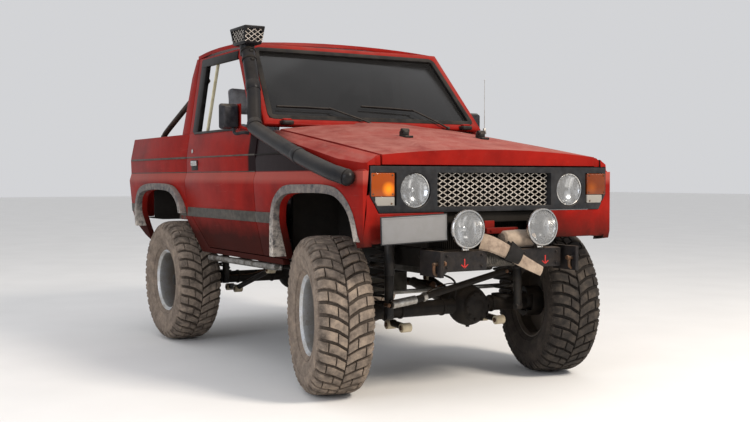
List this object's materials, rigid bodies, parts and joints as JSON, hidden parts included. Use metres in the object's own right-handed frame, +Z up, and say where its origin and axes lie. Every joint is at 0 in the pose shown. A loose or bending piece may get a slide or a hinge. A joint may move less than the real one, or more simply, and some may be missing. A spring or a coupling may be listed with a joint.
{
  "type": "lifted off-road 4x4",
  "caption": "Short lifted off-road 4x4 with a cut roof and open load bed; wheels roll and steer, doors, hood and tailgate open.",
  "frame": {"origin": "on the ground at the centre of the bounding box", "axes": "+X forward, +Y to the vehicle's left, +Z up"},
  "size_m": [3.855, 1.944, 2.094],
  "materials": {
    "body_paint": "sun-faded red paint with dust",
    "frame_paint": "dusty black chassis paint",
    "axle_paint": "greasy cast iron with dried mud",
    "tyre": "dusty rubber",
    "rim": "silver paint with rust specks",
    "trim_black": "worn black plastic",
    "bezel": "charcoal moulded plastic",
    "mesh": "expanded steel, beige paint",
    "glass": "dark tinted glass",
    "lamp": "fluted lamp glass",
    "strap": "dusty woven webbing",
    "seat_cloth": "grey seat cloth",
    "flare": "dusty black moulded rubber",
    "steel": "worn steel",
    "engine": "plain engine block"
  },
  "bodies": {
    "root": {"frame_rails": "frame_paint", "crossmembers": "frame_paint", "front_axle": "axle_paint", "rear_axle": "axle_paint", "springs_and_dampers": "frame_paint", "suspension_links": "axle_paint", "driveline": "axle_paint", "engine": "engine", "fuel_tank": "frame_paint", "exhaust": "steel", "floor_pan": "body_paint", "bulkhead": "body_paint", "side_panels": "body_paint", "front_wings": "body_paint", "front_panel": "bezel", "grille_mesh": "mesh", "valance": "body_paint", "front_lamps": "lamp", "driving_lamps": "lamp", "screen_frame": "body_paint", "screen_glass": "glass", "roof": "body_paint", "roll_bar": "trim_black", "front_bumper": "frame_paint", "winch": "steel", "winch_strap": "strap", "snorkel": "trim_black", "flares": "flare", "step_bars": "steel", "seats": "seat_cloth", "dashboard": "trim_black", "rear_bumper": "frame_paint"},
    "hood": {"hood": "body_paint"},
    "door_right": {"door_right": "body_paint"},
    "door_left": {"door_left": "body_paint"},
    "tailgate": {"tailgate": "body_paint"},
    "steering_wheel": {"steering_wheel": "trim_black"},
    "knuckle_right": {"knuckle_right": "axle_paint"},
    "knuckle_left": {"knuckle_left": "axle_paint"},
    "tie_rod": {"tie_rod": "steel"},
    "wheel_front_right": {"tyre_front_right": "tyre", "rim_front_right": "rim"},
    "wheel_front_left": {"tyre_front_left": "tyre", "rim_front_left": "rim"},
    "wheel_rear_right": {"tyre_rear_right": "tyre", "rim_rear_right": "rim"},
    "wheel_rear_left": {"tyre_rear_left": "tyre", "rim_rear_left": "rim"}
  },
  "joints": [
    {"name": "steering", "type": "hinge", "parent": "root", "child": "knuckle_right", "pos_m": [1.2975, -0.608, 0.43], "axis": [0, 0, 1], "range_deg": [-16, 44]},
    {"name": "steering_left", "type": "hinge", "parent": "root", "child": "knuckle_left", "pos_m": [1.2975, 0.608, 0.43], "axis": [0, 0, 1], "range_deg": [-16, 44]},
    {"name": "tie_rod_eye", "type": "hinge", "parent": "knuckle_right", "child": "tie_rod", "pos_m": [1.14225, -0.56929, 0.482], "axis": [0, 0, 1], "range_deg": [-44, 16]},
    {"name": "steering_wheel_turn", "type": "hinge", "parent": "root", "child": "steering_wheel", "pos_m": [0.2025, 0.36, 1.4], "axis": [-0.8829, 0, 0.4695], "range_deg": [-256, 704]},
    {"name": "spin_front_right", "type": "hinge", "parent": "knuckle_right", "child": "wheel_front_right", "pos_m": [1.26605, -0.73414, 0.43], "axis": [0.2419, 0.9703, 0], "continuous": true},
    {"name": "spin_front_left", "type": "hinge", "parent": "knuckle_left", "child": "wheel_front_left", "pos_m": [1.32895, 0.73414, 0.43], "axis": [0.2419, 0.9703, 0], "continuous": true},
    {"name": "spin_rear_right", "type": "hinge", "parent": "root", "child": "wheel_rear_right", "pos_m": [-1.0125, -0.738, 0.43], "axis": [0, 1, 0], "continuous": true},
    {"name": "spin_rear_left", "type": "hinge", "parent": "root", "child": "wheel_rear_left", "pos_m": [-1.0125, 0.738, 0.43], "axis": [0, 1, 0], "continuous": true},
    {"name": "door_right_swing", "type": "hinge", "parent": "root", "child": "door_right", "pos_m": [0.5155, -0.852, 1.1], "axis": [0, 0, 1], "range_deg": [0, 70]},
    {"name": "door_left_swing", "type": "hinge", "parent": "root", "child": "door_left", "pos_m": [0.5155, 0.852, 1.1], "axis": [0, 0, -1], "range_deg": [0, 70]},
    {"name": "hood_lift", "type": "hinge", "parent": "root", "child": "hood", "pos_m": [0.5915, 0, 1.52], "axis": [0, -1, 0], "range_deg": [0, 60]},
    {"name": "tailgate_drop", "type": "hinge", "parent": "root", "child": "tailgate", "pos_m": [-1.9155, 0, 0.854], "axis": [0, -1, 0], "range_deg": [0, 90]}
  ],
  "couplings": [
    {"joint": "steering_left", "follows": "steering", "ratio": 1},
    {"joint": "tie_rod_eye", "follows": "steering", "ratio": -1},
    {"joint": "steering_wheel_turn", "follows": "steering", "ratio": 16}
  ]
}
